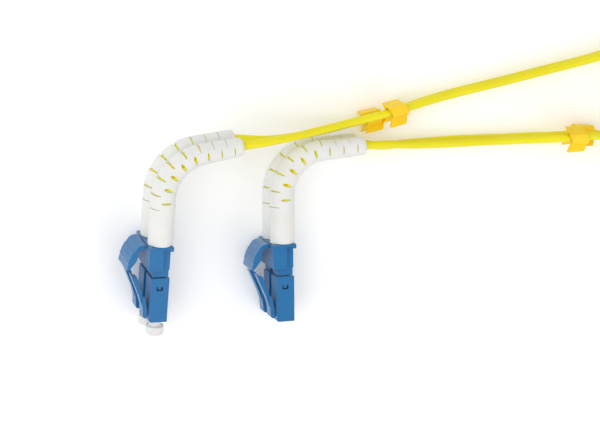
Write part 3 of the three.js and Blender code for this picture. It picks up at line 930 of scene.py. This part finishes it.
# What makes each piece, its look, and the moving set it belongs to
CONNECTOR_PIECES = {
    "front_housing": (front_housing, "blue_housing", None),
    "latch_arm": (latch_arm, "blue_housing", "latch"),
    "rear_body": (rear_body, "blue_housing", None),
    "ferrule": (ferrule, "zirconia", "ferrule_set"),
    "ferrule_flange": (ferrule_flange, "steel", "ferrule_set"),
    "spring": (spring, "steel", None),
    "back_post": (back_post, "brass", None),
    "crimp_sleeve": (crimp_sleeve, "steel", None),
}


def compress(piece):
    """Gives the spring its own copy of the mesh. The shortening towards its back end as the ferrule is pushed
    in is not drawn.
    """
    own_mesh(piece)


def add_connectors():
    for kind, (make, slot, moves_with) in CONNECTOR_PIECES.items():
        mesh = make()
        for side in SIDES:
            for level in LEVELS:
                label = f"{side}_{level}"
                body = f"{label}_{moves_with}" if moves_with else ROOT
                place = connector_matrix(side, level)
                piece = place_piece(f"{label}_{kind}_look", mesh, place, body, f"{label}_{kind}",
                                    LOOKS[slot])
                if kind == "spring":
                    compress(piece)


def add_boots():
    for side in SIDES:
        mesh = boot(side)
        for level in LEVELS:
            label = f"{side}_{level}"
            place_piece(f"{label}_boot_look", mesh, connector_matrix(side, level), ROOT, f"{label}_boot",
                        LOOKS["white_boot"])


def add_caps():
    mesh = dust_cap()
    for level in LEVELS:
        label = f"left_{level}"
        place_piece(f"{label}_dust_cap_look", mesh, connector_matrix("left", level), f"{label}_cap",
                    f"{label}_dust_cap", LOOKS["cap"])


def add_shells():
    clip, grip = duplex_clip(), trigger()
    for side in SIDES:
        place = plug_matrix(side) @ Matrix.Translation((0, NOSE_Y, 0))
        place_piece(f"{side}_duplex_clip_look", clip, place, ROOT, f"{side}_duplex_clip",
                    LOOKS["blue_housing"])
        place_piece(f"{side}_trigger_look", grip, place, f"{side}_trigger_body", f"{side}_trigger",
                    LOOKS["blue_housing"])


def add_markers():
    mesh = cable_marker()
    pieces = {level: [] for level in LEVELS}
    for side, level, index, roll in MARKERS:
        name = f"{side}_{level}_marker"
        pieces[level].append(place_piece(f"{name}_look", mesh, marker_matrix(side, level, index, roll),
                                         f"{name}_body", name, LOOKS["orange_marker"]))
    return pieces


def add_tie():
    place = Matrix.Translation((*COIL["centre"], 0)) @ turn_matrix("Z", TIE["angle"])
    return place_piece("coil_tie_look", tie_strap(), place, ROOT, "coil_tie", LOOKS["tie"])


# Stage
def add_stage():
    look, nodes, links, shader = new_look("floor", (0.93, 0.93, 0.93), 0.7, Emission_Strength=FLOOR["glow"])
    shader.inputs["Emission Color"].default_value = (1, 1, 1, 1)
    bump(nodes, links, shader, noise(nodes, links, 60.0), 0.05, 0.0005)
    size = FLOOR["half"]
    mesh = bpy.data.meshes.new("floor")
    corners = [(-size, -size, 0), (size, -size, 0), (size, size, 0), (-size, size, 0)]
    mesh.from_pydata(corners, [], [(0, 1, 2, 3)])
    mesh.materials.append(look)
    floor = bpy.data.objects.new("floor", mesh)
    bpy.context.scene.collection.objects.link(floor)
    floor.location.z = CAD_BOX[0][2] - FLOOR["gap"]


def add_light(name, place, aim, size, power):
    light = bpy.data.lights.new(name, "AREA")
    light.shape = "DISK"
    light.size = size
    light.energy = power
    holder = bpy.data.objects.new(name, light)
    holder.location = place
    holder.rotation_euler = (Vector(aim) - Vector(place)).to_track_quat("-Z", "Y").to_euler()
    bpy.context.scene.collection.objects.link(holder)


def add_lights():
    world = bpy.data.worlds.new("studio")
    world.use_nodes = True
    sky = world.node_tree.nodes["Background"]
    sky.inputs["Color"].default_value = (1, 1, 1, 1)
    sky.inputs["Strength"].default_value = SKY
    bpy.context.scene.world = world
    add_light("key", (-0.5, 0.05, 0.62), (0.02, 0.0, 0), 0.7, 2.2)
    add_light("fill", (0.4, -0.5, 0.6), (0.03, 0.0, 0), 0.7, 1.5)
    bpy.context.scene.view_settings.view_transform = "Standard"


add_camera()
LEGS = {level: add_leg(level, LOOKS["yellow_jacket"]) for level in LEVELS}
add_connectors()
add_boots()
add_caps()
add_shells()
marker_pieces = add_markers()
tie_piece = add_tie()
for level in LEVELS:
    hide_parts(f"left_{level}_leg", f"right_{level}_leg")
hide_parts("cord_coil")
add_stage()
add_lights()
